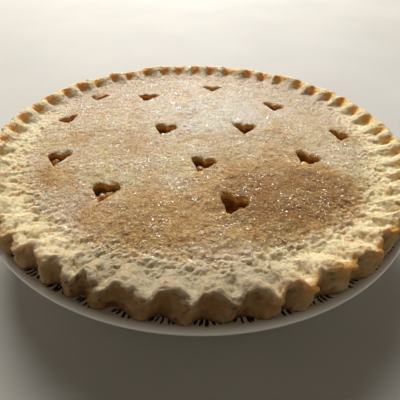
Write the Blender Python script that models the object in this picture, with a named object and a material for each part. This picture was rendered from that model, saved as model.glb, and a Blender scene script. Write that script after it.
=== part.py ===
"""A double-crust apple pie in its round ceramic dish, with heart-shaped vents in the lid.

Metres, +Z up. The dish stands on z = 0 with its axis on Z, and -Y is the side that faces the viewer.
Heights of the crust are given above the top of the dish's rim.
"""

import math
import random

import bmesh
import bpy
from mathutils import Matrix, Vector, noise

DISH_HEIGHT = 0.040
DISH_RADIUS = 0.1285
DISH_COLUMNS = 72
FOOT_RADIUS = 0.0945
FOOT_ROUND = 0.003
DISH_FLOOR = 0.0045
FLOOR_RADIUS = 0.0895
FLOOR_CORNER_OUT = 0.0040
FLOOR_CORNER_UP = 0.0032
WALL_TOP_RADIUS = 0.1108
WALL_TOP_DROP = 0.0045
FLANGE_RADIUS = 0.1125
FLANGE_DROP = 0.0022
FLANGE_END_RADIUS = 0.1240
FLANGE_END_DROP = 0.0012
FLANGE_THICKNESS = 0.0036
FLANGE_UNDER_START = 0.1160
LIP_ROUND = 0.0020
LIP_DEGREES = (120, 75, 30, -15, -60)
WALL_OUTER_TOP_RADIUS = 0.1133
WALL_THICKNESS = 0.0040

# Clearance between the pieces that touch.
GAP = 0.0003
FILLING_GAP = 0.0004

# The lid: a low dome that falls to a shallow valley inside the fluted edge.
DOME_TOP = 0.0195
DOME_FALL = 0.0065
DOME_RADIUS = 0.095
DOME_POWER = 2.4
VALLEY_HEIGHT = 0.0110
VALLEY_START = 0.088
VALLEY_END = 0.110
UNDER_STEP_RADIUS = 0.104
LID_THICKNESS = 0.006
LID_SWELL = 0.0006
SWELLS_PER_METRE = 22.0
LID_LUMP = 0.00035
LUMPS_PER_METRE = 130.0
UNDER_STEP_HEIGHT = 0.0012

# The rings of points on the lid's two sides, each with its radius and its count.
TOP_RINGS = (
    (0.1035, 300),
    (0.097, 150),
    (0.088, 100),
    (0.076, 80),
    (0.062, 60),
    (0.046, 48),
    (0.030, 30),
    (0.014, 15),
)
UNDER_RINGS = ((0.1150, 72), (0.1090, 72), (0.100, 72), (0.085, 60), (0.068, 48), (0.048, 36), (0.026, 18))

# The fluted edge: lobes pushed outward, with a raised ridge between each two. Its crest leans towards +Y,
# so a size is given for the front and for the back. The front lobes are given by their directions in degrees
# and by how much higher than usual their crests are.
FRONT_LOBES = (229.6, 237.3, 243.7, 249.8, 259.6, 267.7, 275.7, 283.9, 290.6, 300.8, 308.7, 317.3)
FRONT_RISES = (0.0, 0.0030, 0.0, 0.0, 0.0020, 0.0015, 0.0, 0.0, 0.0, 0.0, 0.0, 0.0)
OTHER_LOBES = 38
SPACING_JITTER = 0.16
RADIUS_JITTER = 0.0007
HEIGHT_JITTER = 0.0009
COLUMNS_PER_FLUTE = 6
LOBE_CREST_RADIUS = (0.1228, 0.1262)
RIDGE_CREST_RADIUS = (0.1190, 0.1240)
LOBE_CREST_HEIGHT = (0.0120, 0.0150)
RIDGE_CREST_HEIGHT = (0.0165, 0.0160)
LOBE_FOOT_RADIUS = 0.1250
RIDGE_FOOT_RADIUS = 0.1208
LOBE_SLOPE_WIDTH = 0.0105
RIDGE_SLOPE_WIDTH = 0.0130
LOBE_POINT = 1.7
WALL_BULGE = 0.0006
WALL_DENT = 0.0012
CREST_ROUND = 0.0026
CREST_ROUND_DROP = 0.6 * CREST_ROUND
CREST_ROUND_TWIST = 0.95
EDGE_LUMP = 0.0007
EDGE_LUMPS_PER_METRE = 190.0

# The steps of the outer wall: how far up it, and how far from the foot's radius to the crest's.
OUTER_WALL = ((0.34, 0.22), (0.70, 0.58))
BACKWARD_POWER = 0.8
FLUTE_LEAN = 0.10
CREST_TWIST = math.radians(1.7)

# The lobes hang lower than the ridges at the very front, and are level with them from LEVEL_TO on.
FRONT = math.radians(270.0)
LEVEL_FROM = math.radians(12.0)
LEVEL_TO = math.radians(38.0)

# The thumb-pressed pits behind the lobes, and the steps of the slope from the crest to the valley: how far
# along, how much of the fall, and how much of the pit's depth.
PIT_DEPTH = (0.0010, 0.0030)
PIT_BREADTH = 1.9
INNER_SLOPE = ((0.24, 0.12, 0.30), (0.52, 0.55, 1.0), (1.0, 1.0, 0.0))

# The vents: x, y, width and the turn of the notch to the left of +Y, in millimetres and degrees.
VENTS = (
    (-81, -26, 15.0, -2),
    (-48, -59, 15.5, -8),
    (17, -68, 15.5, -20),
    (2, -36, 15.0, -16),
    (-21.5, 2.5, 15.0, -14),
    (28.6, 5, 15.0, -5),
    (62, -25, 15.5, -27),
    (91, 8, 14.0, -15),
    (53, 43, 15.0, -11),
    (10, 75, 15.0, 0),
    (-38, 55, 15.0, -11),
    (-75, 64, 14.5, 0),
    (-88, 25, 14.0, 18),
)
VENT_TIP_SHARE = 0.76
VENT_SHOULDER_SHARE = 0.18
VENT_CENTRE_SHARE = 0.30
VENT_NOTCH_SHARE = 0.05
VENT_ARC_POINTS = 6

# The points of a vent's side between its tip and its shoulder, as shares of half its width and of its tip.
VENT_SIDE = ((0.30, 0.66), (0.72, 0.28))

# The heights between which the vents' cutter stands.
CUTTER_LOW = DISH_HEIGHT - 0.001
CUTTER_HIGH = DISH_HEIGHT + 0.030

# The apple pieces that show in the vents: their places and radius as shares of the vent's width.
APPLE_SPOTS = ((-0.19, 0.15), (0.18, 0.17), (0.0, -0.10))
APPLE_SHARE = 0.155
APPLE_SINK = 0.0006
APPLE_UNEVEN = 0.0006

# The least and most that an apple piece is stretched along x, y and z.
APPLE_STRETCH = ((0.9, 1.1), (0.8, 1.0), (0.7, 1.0))

SEED = 11


def clear_scene():
    for obj in list(bpy.data.objects):
        bpy.data.objects.remove(obj, do_unlink=True)


def material(name, colour, roughness):
    made = bpy.data.materials.new(name)
    made.use_nodes = True
    shader = made.node_tree.nodes["Principled BSDF"]
    shader.inputs["Base Color"].default_value = (*colour, 1.0)
    shader.inputs["Roughness"].default_value = roughness
    shader.inputs["Metallic"].default_value = 0.0
    return made


def mix(low, high, share):
    return low + (high - low) * share


def smooth_step(low, high, value):
    share = min(1.0, max(0.0, (value - low) / (high - low)))
    return share * share * (3.0 - 2.0 * share)


def ring(bm, count, radius, height):
    """A ring of even columns. Its height is a number or a function of x and y."""
    made = []
    for k in range(count):
        angle = 2.0 * math.pi * k / count
        x, y = radius * math.cos(angle), radius * math.sin(angle)
        z = height(x, y) if callable(height) else height
        made.append((angle, bm.verts.new((x, y, z))))
    return made


def join_rings(bm, first, second, flip=False):
    """Fills the strip between two rings of (angle, vertex), each sorted by angle, with any counts."""
    start = min(range(len(second)), key=lambda k: abs(second[k][0] - first[0][0]))
    second = second[start:] + [(angle + 2.0 * math.pi, v) for angle, v in second[:start]]
    first = first + [(first[0][0] + 2.0 * math.pi, first[0][1])]
    second = second + [(second[0][0] + 2.0 * math.pi, second[0][1])]
    i = j = 0
    while i < len(first) - 1 or j < len(second) - 1:
        step_first = j == len(second) - 1 or (
            i < len(first) - 1
            and first[i][0] + first[i + 1][0] <= second[j][0] + second[j + 1][0]
        )
        if step_first:
            corners = [first[i][1], first[i + 1][1], second[j][1]]
            i += 1
        else:
            corners = [first[i][1], second[j + 1][1], second[j][1]]
            j += 1
        bm.faces.new(corners[::-1] if flip else corners)


def close_ring(bm, edge, height, flip=False):
    """Fans a ring to a point on the axis."""
    centre = bm.verts.new((0.0, 0.0, height))
    for (_, a), (_, b) in zip(edge, edge[1:] + edge[:1]):
        bm.faces.new([b, a, centre] if flip else [a, b, centre])


def finish(bm, name, shader, sharp_degrees=40.0):
    bmesh.ops.recalc_face_normals(bm, faces=bm.faces)
    mesh = bpy.data.meshes.new(name)
    bm.to_mesh(mesh)
    bm.free()
    obj = bpy.data.objects.new(name, mesh)
    bpy.context.scene.collection.objects.link(obj)
    mesh.materials.append(shader)
    mesh.shade_smooth()
    mesh.set_sharp_from_angle(angle=math.radians(sharp_degrees))
    return obj


def dish_top(radius):
    """The upper side of the dish's flange and lip, from the rim's top down."""
    if radius > FLANGE_END_RADIUS:
        share = (radius - FLANGE_END_RADIUS) / (DISH_RADIUS - 1.5 * LIP_ROUND - FLANGE_END_RADIUS)
        return -FLANGE_END_DROP * (1.0 - min(1.0, share))
    share = (radius - FLANGE_RADIUS) / (FLANGE_END_RADIUS - FLANGE_RADIUS)
    return -mix(FLANGE_DROP, FLANGE_END_DROP, share)


def dish_profile():
    """Radius and height from the middle of the floor over the rim to the foot."""
    inside = [
        (FLOOR_RADIUS, DISH_FLOOR),
        (FLOOR_RADIUS + FLOOR_CORNER_OUT, DISH_FLOOR + FLOOR_CORNER_UP),
        (WALL_TOP_RADIUS, DISH_HEIGHT - WALL_TOP_DROP),
        (FLANGE_RADIUS, DISH_HEIGHT - FLANGE_DROP),
        (FLANGE_END_RADIUS, DISH_HEIGHT - FLANGE_END_DROP),
    ]
    lip = []
    for turn in map(math.radians, LIP_DEGREES):
        lip.append(
            (
                DISH_RADIUS - LIP_ROUND + LIP_ROUND * math.cos(turn),
                DISH_HEIGHT - LIP_ROUND + LIP_ROUND * math.sin(turn),
            )
        )
    wall_top = DISH_HEIGHT - WALL_TOP_DROP - WALL_THICKNESS
    outside = [
        (FLANGE_END_RADIUS, DISH_HEIGHT - FLANGE_END_DROP - FLANGE_THICKNESS),
        (FLANGE_UNDER_START, DISH_HEIGHT - FLANGE_DROP - FLANGE_THICKNESS),
        (WALL_OUTER_TOP_RADIUS, wall_top),
        (FOOT_RADIUS + FOOT_ROUND, FOOT_ROUND),
        (FOOT_RADIUS, 0.0),
    ]
    return inside + lip + outside


def build_dish():
    bm = bmesh.new()
    rings = [ring(bm, DISH_COLUMNS, radius, height) for radius, height in dish_profile()]
    for first, second in zip(rings, rings[1:]):
        join_rings(bm, first, second)
    close_ring(bm, rings[0], DISH_FLOOR)
    close_ring(bm, rings[-1], 0.0, flip=True)
    return finish(bm, "pie_dish", material("glazed_ceramic_white", (0.80, 0.77, 0.70), 0.22))


def plain_lid(radius):
    """The lid's even height above the rim's top."""
    dome = DOME_TOP - DOME_FALL * (radius / DOME_RADIUS) ** DOME_POWER
    return mix(dome, VALLEY_HEIGHT, smooth_step(VALLEY_START, VALLEY_END, radius))


def lid_top(x, y):
    """The lid's height over the floor, with the broad swell and the lumps of baked dough."""
    swell = noise.noise(Vector((x, y, 0.0)) * SWELLS_PER_METRE) * LID_SWELL
    lump = noise.noise(Vector((x, y, 0.0)) * LUMPS_PER_METRE) * LID_LUMP
    return DISH_HEIGHT + plain_lid(math.hypot(x, y)) + swell + lump


def under_height(radius):
    """The underside of the crust above the rim's top: on the flange, then up to the lid."""
    if radius > FLANGE_RADIUS:
        return dish_top(radius) + GAP
    if radius > UNDER_STEP_RADIUS:
        return UNDER_STEP_HEIGHT
    return plain_lid(radius) - LID_THICKNESS


def lobe_angles(rng):
    """The directions of all lobes, in radians and in order: those measured at the front, then the rest."""
    span = FRONT_LOBES[0] + 360.0 - FRONT_LOBES[-1]
    pitch = span / (OTHER_LOBES + 1)
    rest = [
        FRONT_LOBES[-1] + pitch * (k + 1 + rng.uniform(-SPACING_JITTER, SPACING_JITTER))
        for k in range(OTHER_LOBES)
    ]
    return [math.radians(a) for a in (*FRONT_LOBES, *rest)]


def flute_columns(rng):
    """A list of (angle, lobe share, crest radius, crest height, foot radius, pit depth) round the edge.

    The lobe share is 1 in the middle of a lobe and 0 on a ridge.
    """
    angles = lobe_angles(rng)

    def uneven():
        return rng.uniform(-RADIUS_JITTER, RADIUS_JITTER), rng.uniform(-HEIGHT_JITTER, HEIGHT_JITTER)

    rises = (*FRONT_RISES, *[0.0] * OTHER_LOBES)
    lobes = [(out, up + rise) for (out, up), rise in zip([uneven() for _ in angles], rises)]
    ridges = [uneven() for _ in angles]
    columns = []
    for k, first in enumerate(angles):
        gap = (angles[(k + 1) % len(angles)] - first) % (2.0 * math.pi)
        for step in range(COLUMNS_PER_FLUTE):
            phase = step / COLUMNS_PER_FLUTE
            share = 0.5 + 0.5 * math.cos(2.0 * math.pi * phase)
            angle = first + gap * (phase - FLUTE_LEAN * (1.0 - share))
            back = (0.5 + 0.5 * math.sin(angle)) ** BACKWARD_POWER
            near = lobes[k] if phase < 0.5 else lobes[(k + 1) % len(angles)]
            out = mix(ridges[k][0], near[0], share)
            up = mix(ridges[k][1], near[1], share)
            point = share**LOBE_POINT
            crest_radius = mix(mix(*RIDGE_CREST_RADIUS, back), mix(*LOBE_CREST_RADIUS, back), point) + out
            aside = abs((angle - FRONT + math.pi) % (2.0 * math.pi) - math.pi)
            level = smooth_step(LEVEL_FROM, LEVEL_TO, aside)
            crest_height = mix(mix(*RIDGE_CREST_HEIGHT, back), mix(*LOBE_CREST_HEIGHT, level), point) + up
            foot_radius = mix(RIDGE_FOOT_RADIUS, LOBE_FOOT_RADIUS, share) + out
            pit = mix(*PIT_DEPTH, back) * share**PIT_BREADTH
            columns.append((angle, share, crest_radius, crest_height, foot_radius, pit))
    return columns


def edge_section(column):
    """Radius, height and share of the twist down one column, from the wall's foot to the valley."""
    _, share, crest_radius, crest_height, foot_radius, pit = column
    width = mix(RIDGE_SLOPE_WIDTH, LOBE_SLOPE_WIDTH, share)
    foot = dish_top(foot_radius) + GAP
    section = [(foot_radius, foot, 0.0)]
    for rise, inward in OUTER_WALL:
        radius = mix(foot_radius, crest_radius + CREST_ROUND, inward)
        radius += mix(-WALL_DENT, WALL_BULGE, share)
        section.append((radius, mix(foot, crest_height, rise), rise))
    section.append((crest_radius + CREST_ROUND, crest_height - CREST_ROUND_DROP, CREST_ROUND_TWIST))
    section.append((crest_radius, crest_height, 1.0))
    for along, fall, deep in INNER_SLOPE:
        height = mix(crest_height, VALLEY_HEIGHT, fall) - pit * deep
        section.append((crest_radius - along * width, height, 1.0))
    return section


def heart(width):
    """The outline of a vent, anticlockwise, with its tip towards -Y."""
    half = width / 2.0
    tip = -VENT_TIP_SHARE * width
    lift = VENT_SHOULDER_SHARE * width
    right = [(0.0, tip)] + [(across * half, down * tip) for across, down in VENT_SIDE]
    for k in range(VENT_ARC_POINTS):
        turn = math.pi * k / VENT_ARC_POINTS
        right.append((half / 2.0 + half / 2.0 * math.cos(turn), lift * math.sin(turn)))
    left = [(-x, y) for x, y in reversed(right[1:])]
    shift = VENT_CENTRE_SHARE * width
    return [(x, y + shift) for x, y in right + [(0.0, VENT_NOTCH_SHARE * width)] + left]


def vent_places():
    """Each vent's centre in metres, its width and its turn in radians."""
    for x, y, width, turn in VENTS:
        yield x / 1000.0, y / 1000.0, width / 1000.0, math.radians(turn)


def cut_vents(crust):
    """Cuts the vents right through the lid with one cutter of upright prisms."""
    bm = bmesh.new()
    for x, y, width, turn in vent_places():
        place = Matrix.Translation((x, y, 0.0)) @ Matrix.Rotation(turn, 4, "Z")
        outline = [place @ Vector((a, b, CUTTER_LOW)) for a, b in heart(width)]
        base = [bm.verts.new(p) for p in outline]
        top = [bm.verts.new((p.x, p.y, CUTTER_HIGH)) for p in outline]
        bm.faces.new(base[::-1])
        bm.faces.new(top)
        for k in range(len(base)):
            after = (k + 1) % len(base)
            bm.faces.new([base[k], base[after], top[after], top[k]])
    cutter = finish(bm, "vent_cutter", crust.data.materials[0])
    cutter.hide_render = True
    cutter.display_type = "WIRE"
    cut = crust.modifiers.new("vents", "BOOLEAN")
    cut.operation = "DIFFERENCE"
    cut.object = cutter
    cut.solver = "EXACT"


def build_crust():
    """The lid and the fluted edge, one piece of dough that rests on the dish's flange."""
    rng = random.Random(SEED)
    bm = bmesh.new()
    columns = flute_columns(rng)
    columns.sort(key=lambda column: column[0] % (2.0 * math.pi))
    rows = None
    for column in columns:
        section = edge_section(column)
        rows = rows or [[] for _ in section]
        angle = column[0] % (2.0 * math.pi)
        for row, (radius, height, twist) in zip(rows, section):
            turned = angle + twist * CREST_TWIST
            x, y = radius * math.cos(turned), radius * math.sin(turned)
            lump = noise.noise(Vector((x, y, height)) * EDGE_LUMPS_PER_METRE) * EDGE_LUMP if twist else 0.0
            row.append((angle, bm.verts.new((x, y, DISH_HEIGHT + height + lump))))
    for first, second in zip(rows, rows[1:]):
        join_rings(bm, first, second)
    inner = [(angle + CREST_TWIST, vertex) for angle, vertex in rows[-1]]
    tops = [ring(bm, count, radius, lid_top) for radius, count in TOP_RINGS]
    for first, second in zip([inner, *tops], tops):
        join_rings(bm, first, second)
    close_ring(bm, tops[-1], lid_top(0.0, 0.0))
    unders = [ring(bm, count, radius, DISH_HEIGHT + under_height(radius)) for radius, count in UNDER_RINGS]
    for first, second in zip([rows[0], *unders], unders):
        join_rings(bm, first, second, flip=True)
    close_ring(bm, unders[-1], DISH_HEIGHT + under_height(0.0), flip=True)
    crust = finish(bm, "crust", material("baked_crust", (0.63, 0.42, 0.21), 0.72))
    cut_vents(crust)
    return crust


def apple_piece(bm, centre, radius, rng):
    """A cooked apple cube with its corners worn round."""
    made = bmesh.ops.create_icosphere(bm, subdivisions=1, radius=radius)
    stretch = Matrix.Diagonal((*[rng.uniform(*limits) for limits in APPLE_STRETCH], 1.0))
    turn = Matrix.Rotation(rng.uniform(0.0, math.pi), 4, "Z")
    bmesh.ops.transform(bm, matrix=Matrix.Translation(centre) @ turn @ stretch, verts=made["verts"])


def add_apples(filling):
    """Fuses the apple pieces that stand up in the vents to the filling."""
    rng = random.Random(SEED + 1)
    group = bpy.data.collections.new("apple_pieces")
    bpy.context.scene.collection.children.link(group)
    for x, y, width, turn in vent_places():
        place = Matrix.Translation((x, y, 0.0)) @ Matrix.Rotation(turn, 4, "Z")
        for across, along in APPLE_SPOTS:
            spot = place @ Vector((across * width, along * width, 0.0))
            level = DISH_HEIGHT + under_height(spot.to_2d().length) - APPLE_SINK
            bm = bmesh.new()
            height = level + rng.uniform(-APPLE_UNEVEN, APPLE_UNEVEN)
            apple_piece(bm, (spot.x, spot.y, height), APPLE_SHARE * width, rng)
            piece = finish(bm, "apple_piece", filling.data.materials[0])
            bpy.context.scene.collection.objects.unlink(piece)
            group.objects.link(piece)
    union = filling.modifiers.new("apples", "BOOLEAN")
    union.operation = "UNION"
    union.operand_type = "COLLECTION"
    union.collection = group
    union.solver = "EXACT"
    bpy.context.view_layer.objects.active = filling
    bpy.ops.object.modifier_apply(modifier=union.name)
    for piece in list(group.objects):
        bpy.data.objects.remove(piece, do_unlink=True)
    bpy.data.collections.remove(group)


def build_filling():
    """The apple filling, solid from the dish's floor to the underside of the lid."""
    bm = bmesh.new()
    side = (
        (FLOOR_RADIUS - GAP, DISH_FLOOR + GAP),
        (FLOOR_RADIUS + FLOOR_CORNER_OUT - FILLING_GAP, DISH_FLOOR + FLOOR_CORNER_UP + GAP),
        (WALL_TOP_RADIUS - FILLING_GAP, DISH_HEIGHT - WALL_TOP_DROP),
    )
    sides = [ring(bm, DISH_COLUMNS, radius, height) for radius, height in side]
    tops = []
    for radius, count in UNDER_RINGS[1:]:
        inset = GAP if radius > UNDER_STEP_RADIUS else 0.0
        tops.append(ring(bm, count, radius - inset, DISH_HEIGHT + under_height(radius) - FILLING_GAP))
    rings = sides + tops
    for first, second in zip(rings, rings[1:]):
        join_rings(bm, first, second)
    close_ring(bm, rings[-1], DISH_HEIGHT + under_height(0.0) - FILLING_GAP)
    close_ring(bm, sides[0], DISH_FLOOR + GAP, flip=True)
    filling = finish(bm, "filling", material("apple_filling", (0.36, 0.15, 0.05), 0.35))
    add_apples(filling)
    return filling


def main():
    clear_scene()
    build_dish()
    build_crust()
    build_filling()


main()
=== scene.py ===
"""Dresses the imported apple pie: baked crust, sugar, apple filling, glazed dish with its painted border.

Metres, +Z up, with the dish standing on z = 0. Heights in the crust's values are above the dish's rim.
"""

import random
from math import cos, exp, hypot, pi, radians, sin, sqrt

import bpy
import numpy as np
from mathutils import Euler, Matrix, Vector, noise
from mathutils.bvhtree import BVHTree
from mathutils.geometry import delaunay_2d_cdt


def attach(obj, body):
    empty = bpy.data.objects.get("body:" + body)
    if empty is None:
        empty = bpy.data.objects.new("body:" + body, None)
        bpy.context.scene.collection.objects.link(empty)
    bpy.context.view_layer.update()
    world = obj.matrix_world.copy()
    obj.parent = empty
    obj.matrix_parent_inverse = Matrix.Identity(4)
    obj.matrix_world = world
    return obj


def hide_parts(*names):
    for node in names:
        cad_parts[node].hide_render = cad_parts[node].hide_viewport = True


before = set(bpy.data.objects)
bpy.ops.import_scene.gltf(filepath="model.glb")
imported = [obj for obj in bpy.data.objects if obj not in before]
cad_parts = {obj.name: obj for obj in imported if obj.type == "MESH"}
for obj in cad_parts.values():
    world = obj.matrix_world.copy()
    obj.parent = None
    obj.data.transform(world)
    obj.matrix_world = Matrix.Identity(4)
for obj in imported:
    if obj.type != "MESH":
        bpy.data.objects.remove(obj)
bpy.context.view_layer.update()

# The dish, as in the solids.
DISH_HEIGHT = 0.040
DISH_RADIUS = 0.1285
FOOT_RADIUS = 0.0945
FOOT_ROUND = 0.003
DISH_FLOOR = 0.0045
FLOOR_RADIUS = 0.0895
FLOOR_CORNER_OUT = 0.0040
FLOOR_CORNER_UP = 0.0032
WALL_TOP_RADIUS = 0.1108
WALL_TOP_DROP = 0.0045
FLANGE_RADIUS = 0.1125
FLANGE_DROP = 0.0022
FLANGE_END_RADIUS = 0.1240
FLANGE_END_DROP = 0.0012
FLANGE_THICKNESS = 0.0036
FLANGE_UNDER_START = 0.1160
LIP_ROUND = 0.0020
WALL_OUTER_TOP_RADIUS = 0.1133
WALL_THICKNESS = 0.0040
GAP = 0.0003
FILLING_GAP = 0.0004

# The lid, as in the solids.
DOME_TOP = 0.0195
DOME_FALL = 0.0065
DOME_RADIUS = 0.095
DOME_POWER = 2.4
VALLEY_HEIGHT = 0.0110
VALLEY_START = 0.088
VALLEY_END = 0.110
UNDER_STEP_RADIUS = 0.104
LID_THICKNESS = 0.006
LID_SWELL = 0.0006
SWELLS_PER_METRE = 22.0
LID_LUMP = 0.00035
LUMPS_PER_METRE = 130.0
UNDER_STEP_HEIGHT = 0.0012

# The fluted edge, as in the solids, with finer columns. Pairs are the front's and the back's size.
# The front's lobes are given by direction in degrees and by how much each stands above the rest.
FRONT = radians(270.0)
FRONT_LOBES = (229.6, 237.3, 243.7, 249.8, 259.6, 267.7, 275.7, 283.9, 290.6, 300.8, 308.7, 317.3)
FRONT_RISES = (0.0, 0.0030, 0.0, 0.0, 0.0020, 0.0015, 0.0, 0.0, 0.0, 0.0, 0.0, 0.0)
OTHER_LOBES = 38
SPACING_JITTER = 0.16
RADIUS_JITTER = 0.0007
HEIGHT_JITTER = 0.0009
COLUMNS_PER_FLUTE = 20
LOBE_CREST_RADIUS = (0.1228, 0.1262)
RIDGE_CREST_RADIUS = (0.1190, 0.1240)
LOBE_CREST_HEIGHT = (0.0120, 0.0150)
RIDGE_CREST_HEIGHT = (0.0165, 0.0160)
LEVEL_FROM = radians(12.0)
LEVEL_TO = radians(38.0)
LOBE_FOOT_RADIUS = 0.1250
RIDGE_FOOT_RADIUS = 0.1208
LOBE_SLOPE_WIDTH = 0.0105
RIDGE_SLOPE_WIDTH = 0.0130
LOBE_POINT = 1.7
PIT_BREADTH = 1.9
PIT_DEPTH = (0.0010, 0.0030)
INNER_SLOPE = ((0.24, 0.12, 0.30), (0.52, 0.55, 1.0), (1.0, 1.0, 0.0))
OUTER_WALL = ((0.34, 0.22), (0.70, 0.58))
WALL_BULGE = 0.0006
WALL_DENT = 0.0012
CREST_ROUND = 0.0026
CREST_ROUND_DROP = 0.6
CREST_ROUND_TWIST = 0.95
BACKWARD_POWER = 0.8
FLUTE_LEAN = 0.10
CREST_TWIST = radians(1.7)
ROWS_PER_STEP = (5, 4, 4, 4, 4, 5, 5)
STEPS_TO_CREST = 4
CREASE_PHASE = 0.24
CREASE_WIDTH = 0.05
CREASE_DEPTH = 0.0012

# The vents, as in the solids: x, y, width in millimetres and the turn of the notch in degrees.
VENTS = (
    (-81, -26, 15.0, -2),
    (-48, -59, 15.5, -8),
    (17, -68, 15.5, -20),
    (2, -36, 15.0, -16),
    (-21.5, 2.5, 15.0, -14),
    (28.6, 5, 15.0, -5),
    (62, -25, 15.5, -27),
    (91, 8, 14.0, -15),
    (53, 43, 15.0, -11),
    (10, 75, 15.0, 0),
    (-38, 55, 15.0, -11),
    (-75, 64, 14.5, 0),
    (-88, 25, 14.0, 18),
)
VENT_TIP_SHARE = 0.76
VENT_SHOULDER_SHARE = 0.18
VENT_CENTRE_SHARE = 0.30
VENT_NOTCH_SHARE = 0.05
VENT_SIDE = ((0.30, 0.66), (0.72, 0.28))
VENT_ARC_STEPS = 12
VENT_STEP = 0.0006
VENT_BLUNT_STEPS = 2
VENT_ROUND = 0.0016
VENT_RINGS = (0.0003, 0.0007, 0.0012, 0.0018)
VENT_WALL_ROWS = (0.10, 0.25, 0.45, 0.70)
VENT_WALL_SLANT = 0.0007
VENT_WALL_WOBBLE = 0.00035
VENT_EDGE_WOBBLE = 0.00022
VENT_CLEAR = 0.0015

# The lid's mesh: the spacing of its points, and the rings of points under it by radius and number.
LID_STEP = 0.0012
VALLEY_STEP = 0.0007
GRID_JITTER = 0.2
FINE_RADIUS = 0.092
LID_REACH = 0.121
UNDER_RINGS = (
    *[(radius, 90) for radius in (0.1150, 0.1090, 0.1045, 0.1035, 0.098)],
    *[(0.085, 70), (0.068, 60), (0.048, 40), (0.026, 20)],
)
SEED = 11


def mix(low, high, share):
    return low + (high - low) * share


def smooth_step(low, high, value):
    share = np.clip((value - low) / (high - low), 0.0, 1.0)
    return share * share * (3.0 - 2.0 * share)


def radius_of(points):
    return np.hypot(points[:, 0], points[:, 1])


def direction_of(points):
    return np.arctan2(points[:, 1], points[:, 0])


def raised(plan, height=0.0):
    """Points of the plane as points in space, at one height or at one each."""
    return np.column_stack((plan, np.broadcast_to(height, len(plan))))


def ring_points(radius, height, turns):
    """Points in space at a radius, a height and a direction each."""
    return raised(np.column_stack((radius * np.cos(turns), radius * np.sin(turns))), height)


def even_turns(count):
    return 2.0 * pi * np.arange(count) / count


def dish_top(radius):
    """The upper side of the dish's flange and lip, from the rim's top down."""
    if radius > FLANGE_END_RADIUS:
        share = (radius - FLANGE_END_RADIUS) / (DISH_RADIUS - 1.5 * LIP_ROUND - FLANGE_END_RADIUS)
        return -FLANGE_END_DROP * (1.0 - min(1.0, share))
    share = (radius - FLANGE_RADIUS) / (FLANGE_END_RADIUS - FLANGE_RADIUS)
    return -mix(FLANGE_DROP, FLANGE_END_DROP, share)


def plain_lid(radius):
    """The lid's even height above the rim's top."""
    dome = DOME_TOP - DOME_FALL * (radius / DOME_RADIUS) ** DOME_POWER
    return mix(dome, VALLEY_HEIGHT, smooth_step(VALLEY_START, VALLEY_END, radius))


def under_height(radius):
    """The underside of the crust above the rim's top: on the flange, then up to the lid."""
    if radius > FLANGE_RADIUS:
        return dish_top(radius) + GAP
    if radius > UNDER_STEP_RADIUS:
        return UNDER_STEP_HEIGHT
    return plain_lid(radius) - LID_THICKNESS


def noise_at(points, per_metre, shift=0.0):
    """Smooth noise from -1 to 1 at each row of points."""
    return np.array([noise.noise(Vector(p) * per_metre + Vector((shift, 0.0, 0.0))) for p in points])


def fractal_at(points, per_metre, octaves, shift=0.0):
    offset = Vector((shift, 0.0, 0.0))
    return np.array([noise.fractal(Vector(p) * per_metre + offset, 1.0, 2.0, octaves) for p in points])


def cells_at(points, per_metre, shift=0.0):
    """The distance to the nearest of scattered cell centres, 0 at a centre."""
    offset = Vector((shift, 0.0, 0.0))
    return np.array([noise.voronoi(Vector(p) * per_metre + offset)[0][0] for p in points])


def lobe_angles(rng):
    """The directions of all lobes, in radians and in order: those measured at the front, then the rest."""
    span = FRONT_LOBES[0] + 360.0 - FRONT_LOBES[-1]
    pitch = span / (OTHER_LOBES + 1)
    rest = [
        FRONT_LOBES[-1] + pitch * (k + 1 + rng.uniform(-SPACING_JITTER, SPACING_JITTER))
        for k in range(OTHER_LOBES)
    ]
    return [radians(a) for a in (*FRONT_LOBES, *rest)]


def flute_columns(rng):
    """The size of the edge at every column round the pie, in order of direction."""
    angles = lobe_angles(rng)

    def uneven():
        return rng.uniform(-RADIUS_JITTER, RADIUS_JITTER), rng.uniform(-HEIGHT_JITTER, HEIGHT_JITTER)

    rises = (*FRONT_RISES, *[0.0] * OTHER_LOBES)
    lobes = [(out, up + rise) for (out, up), rise in zip([uneven() for _ in angles], rises)]
    ridges = [uneven() for _ in angles]
    creases = [rng.uniform(0.2, 1.0) for _ in angles]
    columns = []
    for k, first in enumerate(angles):
        gap = (angles[(k + 1) % len(angles)] - first) % (2.0 * pi)
        for step in range(COLUMNS_PER_FLUTE):
            phase = step / COLUMNS_PER_FLUTE
            share = 0.5 + 0.5 * cos(2.0 * pi * phase)
            angle = first + gap * (phase - FLUTE_LEAN * (1.0 - share))
            back = (0.5 + 0.5 * sin(angle)) ** BACKWARD_POWER
            near = lobes[k] if phase < 0.5 else lobes[(k + 1) % len(angles)]
            out = mix(ridges[k][0], near[0], share)
            up = mix(ridges[k][1], near[1], share)
            point = share**LOBE_POINT
            crest_radius = mix(mix(*RIDGE_CREST_RADIUS, back), mix(*LOBE_CREST_RADIUS, back), point) + out
            aside = abs((angle - FRONT + pi) % (2.0 * pi) - pi)
            level = smooth_step(LEVEL_FROM, LEVEL_TO, aside)
            crest_height = mix(mix(*RIDGE_CREST_HEIGHT, back), mix(*LOBE_CREST_HEIGHT, level), point) + up
            foot_radius = mix(RIDGE_FOOT_RADIUS, LOBE_FOOT_RADIUS, share) + out
            crease = exp(-(((phase - CREASE_PHASE) / CREASE_WIDTH) ** 2)) * creases[k]
            pit = mix(*PIT_DEPTH, back) * share**PIT_BREADTH
            columns.append((angle, share, crest_radius, crest_height, foot_radius, crease, pit))
    columns.sort(key=lambda column: column[0] % (2.0 * pi))
    return columns


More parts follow.
